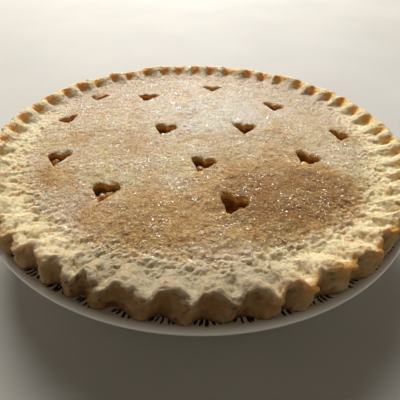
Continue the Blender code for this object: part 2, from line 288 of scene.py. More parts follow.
def edge_section(column):
    """Radius, height and share of the twist down one column, from the wall's foot to the valley."""
    _, share, crest_radius, crest_height, foot_radius, crease, pit = column
    width = mix(RIDGE_SLOPE_WIDTH, LOBE_SLOPE_WIDTH, share)
    foot = dish_top(foot_radius) + GAP
    section = [(foot_radius, foot, 0.0)]
    for rise, inward in OUTER_WALL:
        radius = mix(foot_radius, crest_radius + CREST_ROUND, inward)
        radius += mix(-WALL_DENT, WALL_BULGE, share) - crease * CREASE_DEPTH
        section.append((radius, mix(foot, crest_height, rise), rise))
    round_height = crest_height - CREST_ROUND_DROP * CREST_ROUND
    section.append((crest_radius + CREST_ROUND, round_height, CREST_ROUND_TWIST))
    section.append((crest_radius, crest_height, 1.0))
    for along, fall, deep in INNER_SLOPE:
        height = mix(crest_height, VALLEY_HEIGHT, fall) - pit * deep
        section.append((crest_radius - along * width, height, 1.0))
    return np.array(section)


def rounded_section(section):
    """A smooth curve through the section's points, with ROWS_PER_STEP rows between each two."""
    padded = np.vstack((2 * section[0] - section[1], section, 2 * section[-1] - section[-2]))
    rows = []
    for k, count in enumerate(ROWS_PER_STEP):
        a, b, c, d = padded[k : k + 4]
        for t in np.arange(count) / count:
            square = (2 * a - 5 * b + 4 * c - d) * t**2
            cube = (3 * b - a - 3 * c + d) * t**3
            rows.append(0.5 * (2 * b + (c - a) * t + square + cube))
    rows.append(section[-1])
    return np.array(rows)


def heart(width):
    """The outline of a vent, anticlockwise and finely stepped, with its tip towards -Y."""
    half = width / 2.0
    tip = -VENT_TIP_SHARE * width
    lift = VENT_SHOULDER_SHARE * width
    right = [(0.0, tip), *[(out * half, down * tip) for out, down in VENT_SIDE]]
    right += [
        (half / 2.0 + half / 2.0 * cos(turn), lift * sin(turn))
        for turn in np.linspace(0.0, pi, VENT_ARC_STEPS, endpoint=False)
    ]
    left = [(-x, y) for x, y in reversed(right[1:])]
    corners = np.array(right + [(0.0, VENT_NOTCH_SHARE * width)] + left)
    corners[:, 1] += VENT_CENTRE_SHARE * width
    outline = []
    for a, b in zip(corners, np.roll(corners, -1, axis=0)):
        steps = max(1, round(np.linalg.norm(b - a) / VENT_STEP))
        outline += [mix(a, b, k / steps) for k in range(steps)]
    outline = np.array(outline)
    reach = range(-VENT_BLUNT_STEPS, VENT_BLUNT_STEPS + 1)
    return sum(np.roll(outline, shift, axis=0) for shift in reach) / len(reach)


def vent_ring(outline, gap):
    """The points round a vent that lie a set distance outside its edge."""
    along = np.roll(outline, -1, axis=0) - np.roll(outline, 1, axis=0)
    outward = np.column_stack((along[:, 1], -along[:, 0]))
    ring = outline + gap * outward / np.linalg.norm(outward, axis=1)[:, None]
    return ring[signed_distance(ring, outline) > 0.9 * gap]


def vent_outlines():
    """The cut edge of each vent in the pie's plane, a little uneven."""
    outlines = []
    for k, (x, y, width, turn) in enumerate(VENTS):
        outline = heart(width / 1000.0)
        c, s = cos(radians(turn)), sin(radians(turn))
        outline = outline @ np.array(((c, s), (-s, c))) + np.array((x, y)) / 1000.0
        space = raised(outline, 0.1 * k)
        wobble = np.column_stack((noise_at(space, 400.0), noise_at(space, 400.0, 50.0)))
        outlines.append(outline + wobble * VENT_EDGE_WOBBLE)
    return outlines


def signed_distance(points, outline):
    """The distance of each point to a closed outline, negative inside."""
    a, b = outline, np.roll(outline, -1, axis=0)
    edge = b - a
    to_point = points[:, None, :] - a[None]
    along = np.clip((to_point * edge).sum(2) / (edge**2).sum(1), 0.0, 1.0)
    gap = np.linalg.norm(to_point - along[..., None] * edge, axis=2).min(1)
    above = (a[:, 1] > points[:, 1:]) != (b[:, 1] > points[:, 1:])
    with np.errstate(divide="ignore", invalid="ignore"):
        crossing = a[:, 0] + (points[:, 1:] - a[:, 1]) * edge[:, 0] / edge[:, 1]
    inside = (above & (points[:, :1] < crossing)).sum(1) % 2 == 1
    return np.where(inside, -gap, gap)


def vent_distance(points, outlines, reach=0.006):
    """The distance to the nearest vent, negative inside one and at most reach."""
    nearest = np.full(len(points), reach)
    for outline in outlines:
        low, high = outline.min(0) - reach, outline.max(0) + reach
        close = ((points > low) & (points < high)).all(1)
        nearest[close] = np.minimum(nearest[close], signed_distance(points[close], outline))
    return nearest


def hex_grid(radius, step, rng):
    """Scattered points over a disc, an uneven triangular grid."""
    rows = np.arange(-radius, radius, step * sqrt(0.75))
    points, jitter = [], GRID_JITTER
    for k, y in enumerate(rows):
        for x in np.arange(-radius + (k % 2) * step / 2.0, radius, step):
            aside, along = rng.uniform(-jitter, jitter), rng.uniform(-jitter, jitter)
            points.append((x + aside * step, y + along * step))
    return np.array(points)


def triangulate(points, loops):
    """Triangles between points in the plane. Each loop's edges are kept."""
    edges = []
    for loop in loops:
        edges += [(a, b) for a, b in zip(loop, loop[1:] + loop[:1])]
    _, _, faces, _, _, _ = delaunay_2d_cdt([Vector(p) for p in points], edges, [], 0, 1e-9)
    return np.array([tuple(face) for face in faces])


def ring_reach(ring):
    """A function that gives a closed ring's radius in the direction of each point."""
    order = np.argsort(direction_of(ring))
    angles, radii = direction_of(ring)[order], radius_of(ring)[order]
    return lambda points: np.interp(direction_of(points), angles, radii, period=2.0 * pi)


def index_loops(start, lengths):
    """Runs of point numbers one after the other, a run for each length."""
    loops = []
    for length in lengths:
        loops.append(list(range(start, start + length)))
        start += length
    return loops


class Sheet:
    """Collects points with their attributes, and faces, for one mesh."""

    def __init__(self):
        self.points = []
        self.faces = []
        self.marks = {}

    def add(self, points, **marks):
        first = len(self.points)
        self.points.extend(np.asarray(points, float).tolist())
        for name in set(marks) | set(self.marks):
            column = self.marks.setdefault(name, [0.0] * first)
            column.extend(np.broadcast_to(marks.get(name, 0.0), len(points)).tolist())
        return list(range(first, len(self.points)))

    def places(self, indices):
        return np.array([self.points[i] for i in indices])

    def fill(self, indices, loops, reach, outlines, downward=False):
        """Faces between points as seen from above, within the reach and outside the outlines."""
        plane = self.places(indices)[:, :2]
        faces = triangulate(plane, loops)
        middle = plane[faces].mean(1)
        keep = (radius_of(middle) < reach(middle)) & (vent_distance(middle, outlines) > 0.0)
        order = -1 if downward else 1
        self.faces += [tuple(face[::order]) for face in np.array(indices)[faces[keep]]]

    def strip(self, first, second, closed=True):
        """Quads between two rows of equal length."""
        last = len(first) if closed else len(first) - 1
        for k in range(last):
            n = (k + 1) % len(first)
            self.faces.append((first[k], first[n], second[n], second[k]))

    def strips(self, rows):
        for first, second in zip(rows, rows[1:]):
            self.strip(first, second)

    def cap(self, row, height, downward):
        """Closes a ring of points by a fan from the axis."""
        centre = self.add([(0.0, 0.0, height)])[0]
        for a, b in zip(row, row[1:] + row[:1]):
            self.faces.append((b, a, centre) if downward else (a, b, centre))

    def build(self, name, shader):
        mesh = bpy.data.meshes.new(name)
        mesh.from_pydata(self.points, [], self.faces)
        mesh.materials.append(shader)
        for mark, values in self.marks.items():
            layer = mesh.attributes.new(mark, "FLOAT", "POINT")
            layer.data.foreach_set("value", np.array(values, np.float32))
        mesh.validate()
        mesh.shade_smooth()
        obj = bpy.data.objects.new(name, mesh)
        bpy.context.scene.collection.objects.link(obj)
        return obj


# Where the lid is browned: x, y and radius in millimetres, and how strongly.
BROWN_SPOTS = (
    (-24, -82, 25, 0.90),
    (30, -70, 25, 0.90),
    (67, -56, 26, 1.50),
    (-60, -50, 22, 0.35),
    (-82, -42, 13, 0.60),
    (20, -45, 30, 0.45),
    (60, -10, 28, 0.35),
    (86, -20, 18, -0.85),
    (96, 8, 11, 0.75),
    (-70, -5, 24, 0.20),
    (0, 20, 50, 0.25),
    (-32, 8, 34, 0.22),
)
BROWN_END = (0.092, 0.108)

# The crust's relief.
FLAKE_DEPTH = 0.0015
FOLD_DEPTH = 0.0016
CRACK_DEPTH = 0.0007
GRAIN_DEPTH = 0.00024
LEATHER_DEPTH = 0.0007
WARP = 0.0012

# Where painted shade makes the crust greyer at the front, and a painted sheen makes it pale on the dome,
# where it is also shinier.
SHADE_MIDDLE = radians(264.0)
SHADE_REACH = (radians(12.0), radians(34.0))
SHINE = (0.006, 0.032)
SHINE_REACH = 0.042

# Radii between which the lid turns into the flaky valley, and the painted shade that darkens the back
# begins.
LID_END = (0.096, 0.108)
FLAKY_START = (0.093, 0.106)
SWELL_END = (0.104, 0.110)
SHADE_START = (0.099, 0.107)
BACK_SHADE_START = (0.055, 0.090)
GLARE_START = (0.084, 0.100)
VENT_SMOOTH = 0.0022


def browning(points):
    """How brown the lid is baked, from 0 to about 1."""
    total = np.zeros(len(points))
    for x, y, reach, strength in BROWN_SPOTS:
        gap = np.hypot(points[:, 0] - x / 1000.0, points[:, 1] - y / 1000.0)
        total += strength * np.exp(-((gap / (reach / 1000.0)) ** 2))
    return total * (1.0 - smooth_step(*BROWN_END, radius_of(points)))


def flake_relief(points):
    """Lumps and lifted flakes of short dough, about -1 to 1, drawn out from left to right."""
    warp = WARP * noise_at(points, 180.0, 9.0)
    strained = np.column_stack(
        (0.62 * points[:, 0] + warp, points[:, 1] - 0.25 * points[:, 0] - warp, points[:, 2] + warp)
    )
    puffs = np.abs(noise_at(strained, 190.0)) + 0.5 * np.abs(noise_at(strained, 420.0, 3.0))
    knobs = 1.0 - (cells_at(strained, 270.0) / 0.52) ** 2
    small = 1.0 - (cells_at(strained, 560.0, 6.0) / 0.52) ** 2
    layers = 1.6 * (fractal_at(strained, 120.0, 3, 4.0) + 0.5)
    step = layers - np.floor(layers)
    terraces = np.floor(layers) + smooth_step(0.25, 0.6, step)
    rounded = 0.22 * np.clip(knobs, -1.0, 1.0) + 0.32 * np.clip(small, -1.0, 1.0)
    fine = fractal_at(points, 620.0, 2, 2.0)
    return 1.1 * (puffs - 0.35) + rounded + 0.35 * (terraces - 0.8) + 0.55 * fine


def backness(angles):
    """0 at the front of the pie, 1 at its back."""
    return smooth_step(-0.75, 0.3, np.sin(angles))


def frontmost(angles):
    """1 where the edge lies in its own shade, left of the front, 0 elsewhere."""
    return smooth_step(cos(SHADE_REACH[1]), cos(SHADE_REACH[0]), np.cos(angles - SHADE_MIDDLE))


def crest_glow(angles):
    """How much light comes through the crest: most at the right front, little at the left and back."""
    across = np.cos(angles)
    right = mix(0.45, 1.0, smooth_step(-0.2, 0.3, across))
    sideways = smooth_step(0.25, 0.55, np.abs(across + 0.15))
    return right * sideways * mix(1.0, 0.3, backness(angles))


def lid_glare(points):
    """Where a painted sheen makes the pastry pale, and it is glossier too: the valley at the back and the
    top of the dome.
    """
    radius = radius_of(points)
    space = raised(points, 0.7)
    patchy = noise_at(space, 60.0)
    spotty = patchy + 0.8 * noise_at(space, 150.0, 16.0)
    back = smooth_step(-0.2, 0.5, points[:, 1] / np.maximum(radius, 0.001))
    valley = back * smooth_step(*GLARE_START, radius + 0.007 * patchy)
    shine = np.exp(-((radius_of(points - np.array(SHINE)) / SHINE_REACH) ** 2))
    return np.maximum(0.10 * valley, shine * smooth_step(-0.9, 0.4, spotty))


def frontness(angles):
    """How rough the dough is in each direction: most at the front."""
    return mix(1.0, 0.45, smooth_step(-0.6, 0.5, np.sin(angles)))


def add_edge(sheet, columns):
    """The fluted edge, as rows of points from the wall's foot over the crest to the valley."""
    sections = np.array([rounded_section(edge_section(column)) for column in columns])
    angles = np.array([column[0] % (2.0 * pi) for column in columns])
    shares = np.array([column[1] for column in columns])
    crest_row = sum(ROWS_PER_STEP[:STEPS_TO_CREST])
    last_row = sections.shape[1] - 1
    rows = []
    for k in range(last_row + 1):
        turned = angles + sections[:, k, 2] * CREST_TWIST
        radius, height = sections[:, k, 0], sections[:, k, 1]
        up = k / crest_row
        inward = (k - crest_row) / (last_row - crest_row)
        flake = mix(0.40, 0.8, up) if k < crest_row else mix(0.8, 1.0, inward)
        flake = flake * frontness(angles)
        crest_band = smooth_step(0.45, 0.75, up) * (1.0 - smooth_step(1.0, 1.16, up))
        # Painted glow in the pits at the back, where light would shine through the thin edge.
        pocket = smooth_step(0.15, 0.6, shares) * smooth_step(0.0, 0.14, inward)
        pocket = pocket * (1.0 - smooth_step(0.45, 0.7, inward))
        rows.append(
            sheet.add(
                ring_points(radius, DISH_HEIGHT + height, turned),
                flake=flake * min(1.0, k / 3.0),
                pocket=pocket * backness(angles),
                wall=1.0 - smooth_step(0.60, 1.00, up),
                front=frontmost(angles),
                glare=0.20 * smooth_step(0.6, 0.9, inward) * smooth_step(-0.2, 0.5, np.sin(angles)),
                back=smooth_step(0.3, 0.9, inward) * smooth_step(0.1, 0.7, np.sin(angles)),
                crest=crest_band * crest_glow(angles) * mix(0.15, 1.0, shares),
            )
        )
    sheet.strips(rows)
    return rows


def lid_plan(outlines, reach, rng):
    """Points over the lid, closer in the valley, with rings of them round the vents."""
    valley = hex_grid(LID_REACH, VALLEY_STEP, rng)
    valley = valley[radius_of(valley) < reach(valley) - 0.6 * VALLEY_STEP]
    valley = valley[radius_of(valley) > FINE_RADIUS]
    dome = hex_grid(FINE_RADIUS, LID_STEP, rng)
    dome = dome[radius_of(dome) < FINE_RADIUS - 0.5 * LID_STEP]
    grid = np.vstack((valley, dome))
    grid = grid[vent_distance(grid, outlines) > VENT_RINGS[-1] + 0.5 * VENT_STEP]
    return np.vstack((grid, *[vent_ring(outline, gap) for outline in outlines for gap in VENT_RINGS]))


def add_lid(sheet, outlines, inner_row, rng):
    """The lid's upper side, in from the fluted edge. Gives the row of points round each vent."""
    reach = ring_reach(sheet.places(inner_row))
    inside = lid_plan(outlines, reach, rng)
    plan = np.vstack((inside, *outlines))
    gap = vent_distance(plan, outlines)
    gap[len(inside) :] = 0.0
    radius, angles = radius_of(plan), direction_of(plan)
    space = raised(plan)
    swell = noise_at(space, SWELLS_PER_METRE) * LID_SWELL + noise_at(space, LUMPS_PER_METRE) * LID_LUMP
    swell *= 1.0 - smooth_step(*SWELL_END, radius)
    short = np.clip(1.0 - gap / VENT_ROUND, 0.0, 1.0)
    rounding = VENT_ROUND * (1.0 - np.sqrt(1.0 - short**2 * 0.98))
    height = np.where(radius > VALLEY_END, VALLEY_HEIGHT, plain_lid(radius)) + swell - rounding
    smoothed = mix(0.2, 1.0, smooth_step(0.0, VENT_SMOOTH, gap))
    lid = sheet.add(
        raised(plan, DISH_HEIGHT + height),
        flake=mix(0.16, 1.0, smooth_step(*FLAKY_START, radius)) * frontness(angles) * smoothed,
        browning=browning(plan),
        lid=1.0 - smooth_step(*LID_END, radius + 0.006 * noise_at(space, 80.0, 20.0)),
        glare=lid_glare(plan),
        back=smooth_step(0.1, 0.7, np.sin(angles)) * smooth_step(*BACK_SHADE_START, radius),
        front=frontmost(angles) * smooth_step(*SHADE_START, radius),
        moist=0.30 * short**2,
    )
    loops = index_loops(len(inside), [len(row) for row in (*outlines, inner_row)])
    sheet.fill(lid + inner_row, loops, reach, outlines)
    return [[lid[i] for i in loop] for loop in loops[:-1]]


def add_vent_wall(sheet, outline, top_row):
    """The cut side of a vent, down from its edge. Gives the lowest row of points."""
    outward = outline - outline.mean(0)
    outward /= np.linalg.norm(outward, axis=1)[:, None]
    top_height = sheet.places(top_row)[:, 2]
    floor = DISH_HEIGHT + np.array([under_height(r) for r in radius_of(outline)])
    row = top_row
    for depth in (*VENT_WALL_ROWS, 1.0):
        wobble = noise_at(raised(outline, depth * 0.01), 350.0, 7.0)
        slant = VENT_WALL_SLANT * depth + VENT_WALL_WOBBLE * wobble
        below = sheet.add(
            raised(outline + outward * slant[:, None], mix(top_height, floor, depth)),
            moist=mix(0.30, 1.0, smooth_step(0.05, 0.8, depth)),
        )
        sheet.strip(below, row)
        row = below
    return row


def add_underside(sheet, outlines, foot, vent_rows):
    """The crust's underside, from the wall's foot in to the lower edges of the vents."""
    rings = [ring_points(radius, 0.0, even_turns(count)) for radius, count in UNDER_RINGS]
    plan = np.vstack(rings)[:, :2]
    plan = plan[vent_distance(plan, outlines) > VENT_CLEAR]
    level = [DISH_HEIGHT + under_height(r) for r in radius_of(plan)]
    under = sheet.add(raised(plan, level))
    everything = under + foot + [i for row in vent_rows for i in row]
    loops = index_loops(len(under), [len(row) for row in (foot, *vent_rows)])
    holes = [sheet.places(row)[:, :2] for row in vent_rows]
    sheet.fill(everything, loops, ring_reach(sheet.places(foot)), holes, downward=True)


def read_vectors(mesh, name):
    values = np.zeros(len(mesh.vertices) * 3)
    mesh.vertices.foreach_get(name, values)
    return values.reshape(-1, 3)


def roughen(mesh, marks):
    """Moves the crust's points along their normals by flakes, folds and cracks, and marks them."""
    place, normal = read_vectors(mesh, "co"), read_vectors(mesh, "normal")
    flake = np.array(marks["flake"])
    shown = np.flatnonzero(flake > 0.0)
    spot = place[shown]
    on_lid, wall = np.array(marks["lid"])[shown], np.array(marks["wall"])[shown]
    grain = fractal_at(spot, 450.0, 3) + 1.2 * fractal_at(spot, 130.0, 2, 5.0)
    leather = np.abs(fractal_at(spot * np.array((0.7, 1.0, 1.0)), 210.0, 3, 14.0))
    folds = fractal_at(spot * np.array((1.0, 1.0, 0.22)), 430.0, 3, 8.0)
    cracks = np.exp(-((noise_at(spot * np.array((1.0, 1.0, 0.45)), 210.0, 31.0) / 0.07) ** 2))
    cracks *= smooth_step(-0.1, 0.3, noise_at(spot, 90.0, 37.0)) * wall
    relief = np.zeros(len(place))
    relief[shown] = flake[shown] * flake_relief(spot) * FLAKE_DEPTH + grain * GRAIN_DEPTH
    relief[shown] += on_lid * (0.25 - leather) * LEATHER_DEPTH
    relief[shown] += wall * (np.abs(folds) - 0.25) * FOLD_DEPTH - cracks * CRACK_DEPTH
    crack_mark = np.zeros(len(place), np.float32)
    crack_mark[shown] = cracks
    place += normal * relief[:, None]
    mesh.vertices.foreach_set("co", place.ravel())
    mesh.attributes["relief"].data.foreach_set("value", (relief / FLAKE_DEPTH).astype(np.float32))
    mesh.attributes["crack"].data.foreach_set("value", crack_mark)
    mesh.update()


def build_crust(shader, outlines):
    """The baked pastry: the lid with its vents, the flaky valley and the fluted edge, one closed mesh."""
    rng = random.Random(SEED)
    sheet = Sheet()
    rows = add_edge(sheet, flute_columns(rng))
    vent_edges = add_lid(sheet, outlines, rows[-1], rng)
    vent_rows = [add_vent_wall(sheet, outline, edge) for outline, edge in zip(outlines, vent_edges)]
    add_underside(sheet, outlines, rows[0], vent_rows)
    sheet.marks["relief"] = [0.0] * len(sheet.points)
    sheet.marks["crack"] = [0.0] * len(sheet.points)
    crust = sheet.build("crust_baked", shader)
    roughen(crust.data, sheet.marks)
    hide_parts("crust")
    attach(crust, "root")
    return crust


# Sugar crystals: their number, side, how far out they lie and how deep they sit.
GRAINS = 15000
GRAIN_SIDE = (0.00038, 0.00090)
GRAIN_REACH = 0.104
GRAIN_SINK = 0.35
GRAIN_TILT = 0.35
GRAIN_BREADTH = (0.6, 1.0)
GRAIN_THICKNESS = (0.12, 0.22)
GRAIN_CLEAR = 0.0004


def build_sugar(shader, crust, outlines):
    """Sugar crystals baked on to the lid."""
    rng = random.Random(SEED + 2)
    tree = BVHTree.FromObject(crust, bpy.context.evaluated_depsgraph_get())
    corners = [Vector((x, y, z)) for z in (-1, 1) for x, y in ((-1, -1), (1, -1), (1, 1), (-1, 1))]
    sides = ((3, 2, 1, 0), (4, 5, 6, 7), (0, 1, 5, 4), (1, 2, 6, 5), (2, 3, 7, 6), (3, 0, 4, 7))
    places = []
    while len(places) < GRAINS:
        x, y = rng.uniform(-GRAIN_REACH, GRAIN_REACH), rng.uniform(-GRAIN_REACH, GRAIN_REACH)
        thick = 0.5 + 0.9 * noise.noise(Vector((x, y, 0.3)) * 70.0)
        if hypot(x, y) < GRAIN_REACH and rng.random() < thick:
            places.append((x, y))
    free = vent_distance(np.array(places), outlines) > GRAIN_CLEAR
    browned = browning(np.array(places))
    sheet = Sheet()
    for (x, y), is_free, brown in zip(places, free, browned):
        tilt = rng.uniform(-GRAIN_TILT, GRAIN_TILT), rng.uniform(-GRAIN_TILT, GRAIN_TILT)
        turn = Euler((*tilt, rng.uniform(0, 6.3))).to_matrix()
        half = 0.5 * rng.triangular(GRAIN_SIDE[0], GRAIN_SIDE[1], GRAIN_SIDE[0])
        stretch = Vector((1.0, rng.uniform(*GRAIN_BREADTH), rng.uniform(*GRAIN_THICKNESS)))
        if not is_free:
            continue
        hit, _, _, _ = tree.ray_cast(Vector((x, y, 0.2)), Vector((0, 0, -1)))
        centre = hit + Vector((0, 0, half * stretch.z * (1.0 - 2.0 * GRAIN_SINK)))
        made = sheet.add([centre + turn @ (c * stretch * half) for c in corners], browning=brown)
        sheet.faces += [tuple(made[i] for i in side) for side in sides]
    sugar = sheet.build("sugar_grains", shader)
    sugar.data.shade_flat()
    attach(sugar, "root")
    return sugar


# The filling: its inner edge under the crust's step, its mesh, and the apple pieces in each vent.
FILLING_EDGE_RADIUS = 0.1090
FILLING_STEP_RADIUS = 0.1055
FILLING_TOP_RADIUS = 0.1022
FILLING_TURNS = 96
COARSE_STEP = 0.0045
COARSE_CLEAR = 0.006
FILLING_STEP = 0.00055
FINE_CLEAR = 0.0030
CHUNKS_PER_VENT = 7
CHUNK_SPREAD = 0.55
CHUNK_HALF = (0.0019, 0.0034)
CHUNK_RISE = (-0.0022, 0.0030)
CHUNK_LEAN = 0.25
CHUNK_CROWN = 0.0007
CHUNK_SIDE = 0.0035
CHUNK_LIMIT = 0.0034
CHUNK_CLEAR = (-0.0016, -0.0007)
VENT_HOLLOW = 0.0026
VENT_HOLLOW_EDGE = (0.0010, 0.0028)
BED_LUMP = 0.0004

# The vent at the left back whose filling has bubbled up to the lid.
FULL_VENT = 11
FULL_VENT_RISE = 0.0078
FULL_VENT_CLEAR = (-0.0016, -0.0006)
FULL_VENT_PALE = 0.45


def apple_pieces(plan, bed, rng):
    """The height of rounded apple pieces over the bed in every vent, and where they lie."""
    level, apple = bed.copy(), np.zeros(len(plan))
    for x, y, width, _ in VENTS:
        for _ in range(CHUNKS_PER_VENT):
            out = rng.uniform(0.0, CHUNK_SPREAD) * width / 1000.0
            turn = rng.uniform(0.0, 2.0 * pi)
            half_x, half_y = rng.uniform(*CHUNK_HALF), rng.uniform(*CHUNK_HALF)
            lean = rng.uniform(-CHUNK_LEAN, CHUNK_LEAN), rng.uniform(-CHUNK_LEAN, CHUNK_LEAN)
            rise = rng.uniform(*CHUNK_RISE)
            spin = rng.uniform(0.0, pi)
            dx = plan[:, 0] - x / 1000.0 - out * cos(turn)
            dy = plan[:, 1] - y / 1000.0 - out * sin(turn)
            u = dx * cos(spin) + dy * sin(spin)
            v = dy * cos(spin) - dx * sin(spin)
            edge = ((np.abs(u) / half_x) ** 3.0 + (np.abs(v) / half_y) ** 3.0) ** (1.0 / 3.0)
            body = rise + lean[0] * u + lean[1] * v - CHUNK_CROWN * edge**2
            body = np.where(edge < 1.0, body - CHUNK_SIDE * smooth_step(0.75, 1.05, edge), -1.0)
            above = body > level
            level = np.where(above, body, level)
            apple = np.where(above, 1.0, apple)
    return level, apple


def add_filling_side(sheet):
    """The filling's bottom and side. Gives the row of points where the top begins."""
    top = DISH_HEIGHT + UNDER_STEP_HEIGHT - FILLING_GAP
    side = (
        (FLOOR_RADIUS - GAP, DISH_FLOOR + GAP),
        (FLOOR_RADIUS + FLOOR_CORNER_OUT - FILLING_GAP, DISH_FLOOR + FLOOR_CORNER_UP + GAP),
        (WALL_TOP_RADIUS - FILLING_GAP, DISH_HEIGHT - WALL_TOP_DROP),
        (FILLING_EDGE_RADIUS - GAP, top),
        (FILLING_STEP_RADIUS, top),
    )
    turns = even_turns(FILLING_TURNS)
    rows = [sheet.add(ring_points(radius, height, turns)) for radius, height in side]
    sheet.strips(rows)
    sheet.cap(rows[0], DISH_FLOOR + GAP, downward=True)
    return rows[-1]


def build_filling(shader, outlines):
    """The apple filling, from the dish's floor to the lid, with soft apple pieces in the vents."""
    rng = random.Random(SEED + 1)
    sheet = Sheet()
    side_row = add_filling_side(sheet)
    coarse = hex_grid(UNDER_STEP_RADIUS, COARSE_STEP, rng)
    coarse = coarse[radius_of(coarse) < FILLING_TOP_RADIUS]
    coarse = coarse[vent_distance(coarse, outlines) >= COARSE_CLEAR]
    fine = hex_grid(UNDER_STEP_RADIUS, FILLING_STEP, rng)
    fine = fine[vent_distance(fine, outlines, FINE_CLEAR + 0.0001) < FINE_CLEAR]
    plan = np.vstack((coarse, fine))
    top = DISH_HEIGHT + (np.array([under_height(r) for r in radius_of(plan)]) - FILLING_GAP)
    gap = vent_distance(plan, outlines)
    pit = VENT_HOLLOW * (1.0 - smooth_step(*VENT_HOLLOW_EDGE, gap))
    level, apple = apple_pieces(plan, -pit + BED_LUMP * noise_at(raised(plan), 500.0), rng)
    full = vent_distance(plan, [outlines[FULL_VENT]])
    rise = FULL_VENT_RISE * (1.0 - smooth_step(*FULL_VENT_CLEAR, full))
    limit = np.maximum(CHUNK_LIMIT * (1.0 - smooth_step(*CHUNK_CLEAR, gap)), rise)
    level = np.where(full < 0.0, np.maximum(level, rise), level)
    apple = np.where(full < 0.0, FULL_VENT_PALE, apple)
    top_points = sheet.add(raised(plan, top + np.minimum(level, limit)), apple=apple)
    everything = top_points + side_row
    faces = triangulate(sheet.places(everything)[:, :2], index_loops(len(top_points), [len(side_row)]))
    sheet.faces += [tuple(face) for face in np.array(everything)[faces]]
    filling = sheet.build("apple_filling", shader)
    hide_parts("filling")
    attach(filling, "root")
    return filling


# Rings of the dish between its corners, and the number of points round it.
FLOOR_MIDDLE_RADIUS = 0.030
FLANGE_MIDDLE_RADIUS = 0.1180
DISH_TURNS = 240


def build_dish(shader):
    """The glazed dish with an evenly rounded lip and softened corners."""
    lip = [
        (
            DISH_RADIUS - LIP_ROUND + LIP_ROUND * cos(turn),
            DISH_HEIGHT - LIP_ROUND + LIP_ROUND * sin(turn),
        )
        for turn in np.radians(np.arange(120, -75, -15))
    ]
    wall_top = DISH_HEIGHT - WALL_TOP_DROP - WALL_THICKNESS
    profile = [
        (FLOOR_MIDDLE_RADIUS, DISH_FLOOR),
        (FLOOR_RADIUS - 0.002, DISH_FLOOR),
        (FLOOR_RADIUS + 0.0012, DISH_FLOOR + 0.0006),
        (FLOOR_RADIUS + FLOOR_CORNER_OUT, DISH_FLOOR + FLOOR_CORNER_UP),
        (mix(FLOOR_RADIUS + FLOOR_CORNER_OUT, WALL_TOP_RADIUS, 0.5), 0.022),
        (WALL_TOP_RADIUS, DISH_HEIGHT - WALL_TOP_DROP),
        (WALL_TOP_RADIUS + 0.0008, DISH_HEIGHT - 0.0029),
        (FLANGE_RADIUS + 0.0008, DISH_HEIGHT - FLANGE_DROP),
        (FLANGE_MIDDLE_RADIUS, DISH_HEIGHT + dish_top(FLANGE_MIDDLE_RADIUS)),
        (FLANGE_END_RADIUS, DISH_HEIGHT - FLANGE_END_DROP),
        *lip,
        (FLANGE_END_RADIUS, DISH_HEIGHT - FLANGE_END_DROP - FLANGE_THICKNESS),
        (FLANGE_UNDER_START, DISH_HEIGHT - FLANGE_DROP - FLANGE_THICKNESS),
        (WALL_OUTER_TOP_RADIUS + 0.0006, wall_top + 0.0018),
        (WALL_OUTER_TOP_RADIUS - 0.0008, wall_top - 0.0015),
        (mix(WALL_OUTER_TOP_RADIUS, FOOT_RADIUS + FOOT_ROUND, 0.5), mix(wall_top, FOOT_ROUND, 0.5)),
        (FOOT_RADIUS + FOOT_ROUND, FOOT_ROUND),
        (FOOT_RADIUS + 0.0018, 0.0009),
        (FOOT_RADIUS, 0.0),
        (FOOT_RADIUS - 0.004, 0.0),
        (FLOOR_MIDDLE_RADIUS, 0.0),
    ]
    sheet = Sheet()
    turns = even_turns(DISH_TURNS)
    rows = [sheet.add(ring_points(radius, height, turns)) for radius, height in profile]
    for first, second in zip(rows, rows[1:]):
        sheet.strip(second, first)
    sheet.cap(rows[0], DISH_FLOOR, downward=False)
    sheet.cap(rows[-1], 0.0, downward=True)
    dish = sheet.build("dish_glazed", shader)
    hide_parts("pie_dish")
    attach(dish, "root")
    return dish


# The painted border: groups of strokes under short arcs, and the strokes' lengths in each group.
BORDER_GROUPS = 45
BORDER_RADIUS = 0.1222
BORDER_SPREAD = radians(4.6)
STROKES = (0.45, 0.75, 1.0, 0.85, 0.55)
STROKE_LENGTH = 0.0052
STROKE_WIDTH = 0.00150
ARC_WIDTH = 0.00055
ARC_SAG = 0.0011
ARC_REACH = 0.62
STROKE_REACH = 0.42
STROKE_GAP = 0.0002
STROKE_JITTER = 0.0018
STROKE_FAN = 0.010
BORDER_JITTER = 0.006
PAINT_ABOVE = 0.00006
PAINT_BELOW = 0.00008


def brush_stroke(sheet, path, widths):
    """A flat painted line along (radius, angle) points on the rim, closed on all sides."""
    left, right = [], []
    for k, (radius, angle) in enumerate(path):
        before, after = path[max(0, k - 1)], path[min(len(path) - 1, k + 1)]
        along = Vector((after[0] - before[0], (after[1] - before[1]) * radius)).normalized()
        half = widths[k] / 2.0
        for side, row in ((1.0, left), (-1.0, right)):
            row.append((radius - side * along.y * half, angle + side * along.x * half / radius))

    rows = ((right, PAINT_ABOVE), (left, PAINT_ABOVE), (left, -PAINT_BELOW), (right, -PAINT_BELOW))
    made = [
        sheet.add([(r * cos(a), r * sin(a), rim_surface(r) + lift) for r, a in row]) for row, lift in rows
    ]
    for first, second in zip(made, made[1:] + made[:1]):
        sheet.strip(first, second, closed=False)
    sheet.faces.append(tuple(row[0] for row in made))
    sheet.faces.append(tuple(row[-1] for row in reversed(made)))


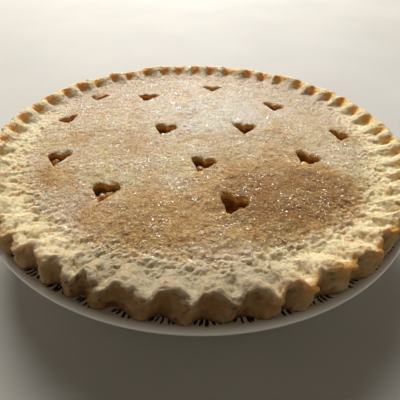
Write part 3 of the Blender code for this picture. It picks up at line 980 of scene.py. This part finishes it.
def rim_surface(radius):
    """The height of the glaze's upper side over the floor, flange and lip."""
    middle = DISH_RADIUS - LIP_ROUND
    if radius > middle - LIP_ROUND * 0.5:
        across = min(1.0, (radius - middle) / LIP_ROUND)
        return DISH_HEIGHT - LIP_ROUND + LIP_ROUND * sqrt(1.0 - across**2)
    start = middle - LIP_ROUND * 0.5
    if radius > FLANGE_END_RADIUS:
        end = DISH_HEIGHT - LIP_ROUND * (1.0 - sqrt(0.75))
        share = (radius - FLANGE_END_RADIUS) / (start - FLANGE_END_RADIUS)
        return mix(DISH_HEIGHT - FLANGE_END_DROP, end, share)
    return DISH_HEIGHT + dish_top(radius)


def build_border(shader):
    """The hand-painted border: groups of short strokes that hang from scalloped arcs."""
    rng = random.Random(SEED + 3)
    sheet = Sheet()
    for group in range(BORDER_GROUPS):
        middle = 2.0 * pi * group / BORDER_GROUPS + rng.uniform(-BORDER_JITTER, BORDER_JITTER)
        ends = np.linspace(-1.0, 1.0, 9)
        reach = ARC_REACH * BORDER_SPREAD
        arc = [(BORDER_RADIUS - ARC_SAG * (1.0 - e * e), middle + reach * e) for e in ends]
        brush_stroke(sheet, arc, [ARC_WIDTH * (1.0 - 0.6 * e * e) for e in ends])
        for k, size in enumerate(STROKES):
            across = (k / (len(STROKES) - 1) - 0.5) * 2.0
            start = middle + BORDER_SPREAD * STROKE_REACH * across
            start += rng.uniform(-STROKE_JITTER, STROKE_JITTER)
            lean = STROKE_FAN * across + rng.uniform(-BORDER_JITTER, BORDER_JITTER)
            length = STROKE_LENGTH * size * rng.uniform(0.75, 1.2)
            base = BORDER_RADIUS - ARC_SAG * (1.0 - (0.7 * across) ** 2) + STROKE_GAP
            path = [(base + length * t, start + lean * t) for t in (0.0, 0.25, 0.5, 0.75, 1.0)]
            width = STROKE_WIDTH * rng.uniform(0.7, 1.2)
            brush_stroke(sheet, path, [width * w for w in (0.55, 0.9, 1.0, 0.75, 0.25)])
    border = sheet.build("painted_border", shader)
    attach(border, "root")
    return border


class Nodes:
    """Builds a node material. A value is a number, a colour or another node's output."""

    def __init__(self, name):
        self.material = bpy.data.materials.new(name)
        self.material.use_nodes = True
        self.tree = self.material.node_tree
        self.shader = self.tree.nodes["Principled BSDF"]
        self.place = self.node("TexCoord").outputs["Object"]

    def set(self, socket, value):
        if isinstance(value, bpy.types.NodeSocket):
            self.tree.links.new(value, socket)
        elif isinstance(value, tuple) and len(value) == 3 and socket.type == "RGBA":
            socket.default_value = (*value, 1.0)
        else:
            socket.default_value = value

    def fill(self, node, values):
        for name, value in values.items():
            self.set(node.inputs[name.replace("_", " ")], value)

    def shade(self, **values):
        self.fill(self.shader, values)

    def node(self, kind, **values):
        """A new node, with inputs set by their names."""
        node = self.tree.nodes.new("ShaderNode" + kind)
        self.fill(node, values)
        return node

    def mark(self, name):
        node = self.node("Attribute")
        node.attribute_name = name
        return node.outputs["Fac"]

    def noise(self, per_metre, detail, rough=0.55):
        node = self.node("TexNoise", Vector=self.place, Scale=per_metre, Detail=detail, Roughness=rough)
        return node.outputs["Fac"]

    def cells(self, per_metre):
        return self.node("TexVoronoi", Vector=self.place, Scale=per_metre).outputs["Distance"]

    def ramp(self, value, low, high, to_low=0.0, to_high=1.0):
        """A value taken smoothly from one range to another."""
        ends = {"From_Min": low, "From_Max": high, "To_Min": to_low, "To_Max": to_high}
        node = self.node("MapRange", Value=value, **ends)
        node.interpolation_type = "SMOOTHSTEP"
        return node.outputs["Result"]

    def math(self, operation, first, second):
        node = self.node("Math")
        node.operation = operation
        self.set(node.inputs[0], first)
        self.set(node.inputs[1], second)
        return node.outputs["Value"]

    def uneven(self, value, pattern, amount):
        """A value made higher and lower by a pattern."""
        swing = self.math("MULTIPLY", self.math("SUBTRACT", pattern, 0.5), amount)
        return self.math("ADD", value, swing)

    def part(self, name, amount):
        return self.math("MULTIPLY", self.mark(name), amount)

    def mix(self, share, first, second, blend="MIX"):
        node = self.node("Mix")
        node.data_type = "RGBA"
        node.blend_type = blend
        self.set(node.inputs["Factor"], share)
        self.set(node.inputs[6], first)
        self.set(node.inputs[7], second)
        return node.outputs[2]

    def tones(self, pattern, pair, low=0.3, high=0.7):
        """Two colours mixed by a pattern."""
        return self.mix(self.ramp(pattern, low, high), *pair)

    def bump(self, height, distance, strength, under=None):
        node = self.node("Bump", Height=height, Distance=distance, Strength=strength)
        if under is not None:
            self.set(node.inputs["Normal"], under)
        return node.outputs["Normal"]


# Colours of the crust, in linear light. Some are painted light: shade at the front, at the back and in
# hollows, highlights on raised flakes, sheen, glints, and glows where light would shine through.
DOUGH = (0.76, 0.625, 0.395)
OLIVE_DOUGH = (0.72, 0.605, 0.33)
PEACH_DOUGH = (0.79, 0.58, 0.42)
BACK_SHADE_DOUGH = (0.60, 0.46, 0.295)
GOLDEN = (0.60, 0.37, 0.115)
BROWN = (0.33, 0.15, 0.018)
SPECK_DARK = (0.66, 0.47, 0.27)
SPECK_GLINT = (1.30, 1.30, 1.33)
RAISED_HIGHLIGHT = (1.0, 0.88, 0.59)
SIDE_DOUGH = (0.99, 0.84, 0.52)
GLARE_DOUGH = (0.99, 0.96, 0.92)
CRACK_BROWN = (0.15, 0.065, 0.02)
FRONT_SHADE_DOUGH = (0.51, 0.43, 0.275)
VENT_BOTTOM_BROWN = (0.46, 0.19, 0.040)
POCKET_GLOW_AMBER = (0.95, 0.52, 0.12)
SHADED_WALL_BROWN = (0.42, 0.21, 0.055)
SIDE_WALL = (0.58, 0.35, 0.12)
CREST_GLOW_ORANGE = (0.96, 0.48, 0.09)
VENT_GLOW_AMBER = (0.88, 0.53, 0.12)
HOLLOW_SHADE_TAN = (0.62, 0.36, 0.09)


def crust_material():
    made = Nodes("baked_crust")
    brown = made.uneven(made.mark("browning"), made.noise(45.0, 2.0), 1.1)
    brown = made.uneven(brown, made.noise(220.0, 4.0), 0.95)
    brown = made.uneven(brown, made.noise(1100.0, 3.0, 0.7), 0.8)
    brown = made.math("SUBTRACT", brown, made.part("relief", 0.05))
    dough = made.mix(made.ramp(made.noise(36.0, 3.0), 0.42, 0.62), DOUGH, OLIVE_DOUGH)
    dough = made.mix(made.ramp(made.noise(24.0, 2.0), 0.48, 0.62, 0.0, 0.7), dough, PEACH_DOUGH)
    dough = made.mix(made.math("SUBTRACT", 0.95, made.mark("lid")), dough, SIDE_DOUGH)
    # Painted shade: the front of the edge is greyer and darker where it lies in its own shade.
    dough = made.mix(made.mark("front"), dough, FRONT_SHADE_DOUGH)
    # Painted shade: the back of the lid and of the valley darkened.
    dough = made.mix(made.mark("back"), dough, BACK_SHADE_DOUGH)
    colour = made.mix(made.ramp(brown, 0.0, 0.6), dough, GOLDEN)
    colour = made.mix(made.ramp(brown, 0.50, 1.25, 0.0, 0.9), colour, BROWN)
    # Painted highlight: raised flakes are lighter, less so at the front that lies in painted shade.
    raised_light = made.math("SUBTRACT", 1.0, made.part("front", 0.7))
    raised_light = made.math("MULTIPLY", raised_light, made.ramp(made.mark("relief"), 0.0, 0.9, 0.0, 0.70))
    colour = made.mix(raised_light, colour, RAISED_HIGHLIGHT)
    # Painted shade: the hollows of the relief are darker and tanner.
    colour = made.mix(made.ramp(made.mark("relief"), -0.15, -0.9, 0.0, 0.65), colour, HOLLOW_SHADE_TAN)
    # The outer wall is browner pastry, and darker still at the front: painted shade where the wall lies in
    # its own shade.
    patchy = made.ramp(made.noise(150.0, 3.0), 0.35, 0.65, 0.75, 1.0)
    side = made.mix(made.mark("front"), SIDE_WALL, SHADED_WALL_BROWN)
    colour = made.mix(made.part("wall", patchy), colour, side)
    # Painted glow: orange on the crest where light would shine through it.
    glow = made.part("crest", made.ramp(made.noise(95.0, 3.0), 0.26, 0.44, 0.0, 1.0))
    colour = made.mix(glow, colour, CREST_GLOW_ORANGE)
    # Painted sheen: the glare patches are pale and whiter.
    colour = made.mix(made.part("glare", 0.72), colour, GLARE_DOUGH)
    # Painted glow: amber in the pits at the back.
    colour = made.mix(made.part("pocket", 0.95), colour, POCKET_GLOW_AMBER)
    colour = made.mix(made.part("crack", 0.8), colour, CRACK_BROWN)
    # Random speckle on the lid; its light dots are whiter, partly painted glints.
    speckle = made.mix(made.ramp(made.noise(760.0, 3.0, 0.75), 0.38, 0.62), SPECK_DARK, SPECK_GLINT)
    dotted = made.part("lid", made.ramp(made.noise(130.0, 3.0), 0.40, 0.62, 0.30, 1.0))
    dotted = made.math("MULTIPLY", dotted, made.math("SUBTRACT", 1.0, made.mark("glare")))
    colour = made.mix(dotted, colour, made.mix(1.0, colour, speckle, "MULTIPLY"))
    # Vent walls: a painted amber glow near the top, where light would shine through, and darker brown
    # towards the bottom.
    colour = made.mix(made.ramp(made.mark("moist"), 0.05, 0.4), colour, VENT_GLOW_AMBER)
    colour = made.mix(made.ramp(made.mark("moist"), 0.4, 1.0), colour, VENT_BOTTOM_BROWN)
    gloss = made.ramp(made.noise(110.0, 4.0, 0.65), 0.45, 0.65, 0.0, 0.14)
    gloss = made.math("ADD", gloss, made.part("glare", 0.20))
    rough = made.math("SUBTRACT", made.ramp(made.mark("moist"), 0.0, 1.0, 0.47, 0.28), gloss)
    rough = made.math("ADD", rough, made.ramp(made.mark("browning"), 0.2, 1.0, 0.0, 0.24))
    grains = made.math("MULTIPLY", made.noise(1200.0, 2.0, 0.6), made.math("ADD", made.mark("lid"), 0.4))
    normal = made.bump(grains, 0.0004, 0.9)
    normal = made.bump(made.noise(560.0, 5.0, 0.7), 0.0024, 0.9, normal)
    made.shade(Base_Color=colour, Roughness=rough, Normal=normal, IOR=1.5)
    made.shade(Subsurface_Weight=0.45, Subsurface_Radius=(1.0, 0.50, 0.12), Subsurface_Scale=0.0028)
    return made.material


# Each of these is a pair of tones that the material mixes.
CLEAR_SUGAR = ((0.88, 0.68, 0.40), (1.0, 0.86, 0.62))
GOLDEN_SUGAR = ((0.66, 0.36, 0.12), (0.86, 0.57, 0.26))
SYRUP = ((0.22, 0.07, 0.013), (0.42, 0.16, 0.034))
APPLE = ((0.62, 0.30, 0.09), (0.86, 0.54, 0.22))
GLAZE = ((0.80, 0.765, 0.69), (0.84, 0.81, 0.745))
GLAZE_SPECK = (0.45, 0.34, 0.22)
PAINT = ((0.012, 0.009, 0.008), (0.045, 0.030, 0.024))
FLOOR = ((0.50, 0.49, 0.46), (0.54, 0.53, 0.50))


def sugar_material():
    made = Nodes("sugar_crystals")
    tint = made.noise(900.0, 1.0)
    clear = made.tones(tint, CLEAR_SUGAR)
    golden = made.tones(tint, GOLDEN_SUGAR)
    colour = made.mix(made.ramp(made.mark("browning"), 0.15, 0.7), clear, golden)
    rough = made.ramp(made.noise(4000.0, 1.0), 0.3, 0.7, 0.12, 0.34)
    made.shade(Base_Color=colour, Roughness=rough, IOR=1.65)
    made.shade(Subsurface_Weight=0.8, Subsurface_Radius=(1.0, 0.7, 0.4), Subsurface_Scale=0.0016)
    return made.material


def filling_material():
    made = Nodes("apple_filling")
    tone = made.noise(500.0, 3.0)
    syrup = made.tones(tone, SYRUP)
    apple = made.tones(tone, APPLE)
    colour = made.mix(made.mark("apple"), syrup, apple)
    rough = made.ramp(made.noise(1300.0, 2.0), 0.3, 0.7, 0.10, 0.32)
    normal = made.bump(made.noise(1600.0, 2.0), 0.00012, 0.5)
    made.shade(Base_Color=colour, Roughness=rough, Normal=normal, IOR=1.45, Coat_Weight=0.5)
    made.shade(Subsurface_Weight=0.4, Subsurface_Radius=(1.0, 0.35, 0.10), Subsurface_Scale=0.0025)
    return made.material


def glaze_material():
    made = Nodes("white_glaze")
    speck = made.ramp(made.cells(700.0), 0.06, 0.02, 0.0, 0.25)
    colour = made.mix(speck, made.tones(made.noise(30.0, 3.0), GLAZE, 0.35, 0.65), GLAZE_SPECK)
    rough = made.ramp(made.noise(260.0, 3.0), 0.3, 0.7, 0.06, 0.14)
    normal = made.bump(made.noise(70.0, 2.0), 0.0004, 0.25)
    made.shade(Base_Color=colour, Roughness=rough, Normal=normal, IOR=1.52)
    made.shade(Coat_Weight=0.4, Coat_Roughness=0.08)
    return made.material


def paint_material():
    made = Nodes("border_paint")
    colour = made.tones(made.noise(800.0, 3.0), PAINT)
    rough = made.ramp(made.noise(600.0, 2.0), 0.3, 0.7, 0.22, 0.38)
    made.shade(Base_Color=colour, Roughness=rough, Coat_Weight=0.3)
    return made.material


def floor_material():
    made = Nodes("pale_floor")
    made.shade(Base_Color=made.tones(made.noise(8.0, 4.0), FLOOR), Roughness=0.75)
    return made.material


# The floor's half side, and the light from all round.
FLOOR_HALF = 3.0
WORLD_COLOUR = (1.0, 0.88, 0.72, 1.0)
WORLD_STRENGTH = 0.15

# The lamps behind the pie: name, place, size, watts and colour.
LAMPS = (
    ("window", (-0.40, 1.80, 2.00), (1.6, 1.5), 79.0, (1.0, 0.965, 0.91)),
    ("window_foot", (-0.05, 2.35, 1.28), (1.1, 0.6), 36.0, (1.0, 0.98, 0.96)),
)

# The photograph's viewpoint. The lens's length and the sensor's width are the same, in millimetres.
CAMERA_PLACE = (0.0, -0.2204, 0.1392 + DISH_HEIGHT)
CAMERA_PITCH = radians(38.24)
CAMERA_ROLL = radians(1.16)
CAMERA_HEADING = radians(0.42)
LENS = 36.0


def add_camera():
    """The photograph's viewpoint: a phone lens close above the front edge."""
    pitch, roll, heading = CAMERA_PITCH, CAMERA_ROLL, CAMERA_HEADING
    across, ahead = sin(heading) * cos(pitch), cos(heading) * cos(pitch)
    forward = Vector((across, ahead, -sin(pitch)))
    level = Vector((cos(heading), -sin(heading), 0.0))
    above = level.cross(forward)
    right = cos(roll) * level + sin(roll) * above
    up = cos(roll) * above - sin(roll) * level
    camera = bpy.data.objects.new("camera", bpy.data.cameras.new("camera"))
    camera.data.lens = LENS
    camera.data.sensor_width = LENS
    camera.data.clip_start = 0.01
    turned = Matrix((right, up, -forward)).transposed().to_4x4()
    camera.matrix_world = Matrix.Translation(CAMERA_PLACE) @ turned
    bpy.context.scene.collection.objects.link(camera)
    bpy.context.scene.camera = camera


def add_light(name, place, size, watts, colour):
    """A soft square lamp that faces the pie."""
    lamp = bpy.data.lights.new(name, "AREA")
    lamp.shape = "RECTANGLE"
    lamp.size, lamp.size_y = size
    lamp.energy = watts
    lamp.color = colour
    obj = bpy.data.objects.new(name, lamp)
    obj.location = place
    towards = Vector((0.0, 0.0, DISH_HEIGHT)) - Vector(place)
    obj.rotation_euler = towards.to_track_quat("-Z", "Y").to_euler()
    bpy.context.scene.collection.objects.link(obj)


def add_surroundings():
    world = bpy.data.worlds.new("studio")
    world.use_nodes = True
    background = world.node_tree.nodes["Background"]
    background.inputs["Color"].default_value = WORLD_COLOUR
    background.inputs["Strength"].default_value = WORLD_STRENGTH
    bpy.context.scene.world = world
    for lamp in LAMPS:
        add_light(*lamp)
    sheet = Sheet()
    corners = ((-1.0, -1.0), (1.0, -1.0), (1.0, 1.0), (-1.0, 1.0))
    made = sheet.add([(x * FLOOR_HALF, y * FLOOR_HALF, 0.0) for x, y in corners])
    sheet.faces.append(tuple(made))
    floor = sheet.build("floor", floor_material())
    bpy.context.scene.view_settings.view_transform = "Standard"


def main():
    outlines = vent_outlines()
    crust = build_crust(crust_material(), outlines)
    build_sugar(sugar_material(), crust, outlines)
    build_filling(filling_material(), outlines)
    build_dish(glaze_material())
    build_border(paint_material())
    add_surroundings()
    add_camera()


main()
